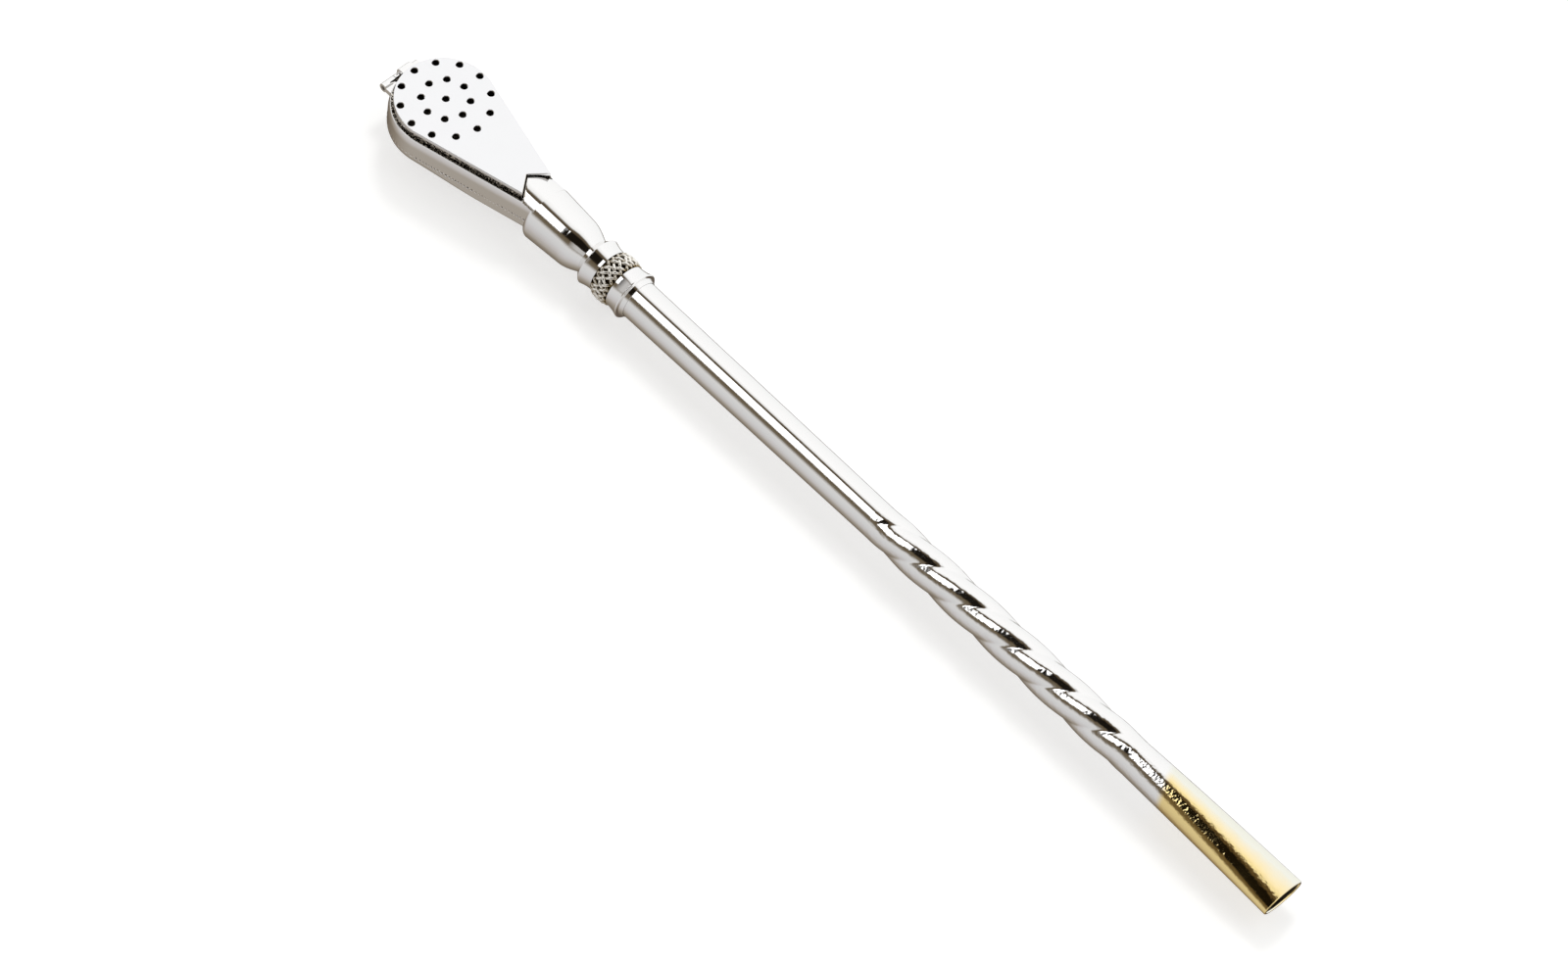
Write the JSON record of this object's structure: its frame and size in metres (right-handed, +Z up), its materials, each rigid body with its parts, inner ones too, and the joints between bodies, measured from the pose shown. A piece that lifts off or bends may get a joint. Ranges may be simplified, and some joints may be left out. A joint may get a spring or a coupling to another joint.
{
  "type": "bombilla",
  "caption": "Metal drinking straw for mate tea with a hinged perforated strainer spoon, a woven collar, a twisted stem and a gilt flattened mouthpiece.",
  "frame": {"origin": "middle of the length, under the stem's axis, at the height of the solder seam under the neck, which it lies on", "axes": "+X along the stem toward the mouthpiece, +Z up through the strainer lid, +Y across the spoon"},
  "size_m": [0.1928, 0.0176, 0.0101],
  "materials": {
    "nickel_silver": "mirror polished",
    "dark_nickel_silver": "woven wire, darkened in the gaps",
    "pin_steel": "drawn wire",
    "gilt": "polished gold plate"
  },
  "bodies": {
    "straw": {"bowl": "nickel_silver", "bowl_knuckle_near": "nickel_silver", "bowl_knuckle_far": "nickel_silver", "neck": "nickel_silver", "neck_cup": "nickel_silver", "tube_cup": "nickel_silver", "stem_tube": "nickel_silver", "twisted_tube": "nickel_silver", "hinge_pin": "pin_steel", "woven_ring": "dark_nickel_silver", "mouthpiece": "gilt"},
    "lid": {"strainer_lid": "nickel_silver", "lid_knuckle": "nickel_silver"}
  },
  "joints": [
    {"name": "lid_hinge", "type": "hinge", "parent": "straw", "child": "lid", "pos_m": [-0.09561, 0, 0.00572], "axis": [0, -1, 0], "range_deg": [0, 120]}
  ]
}
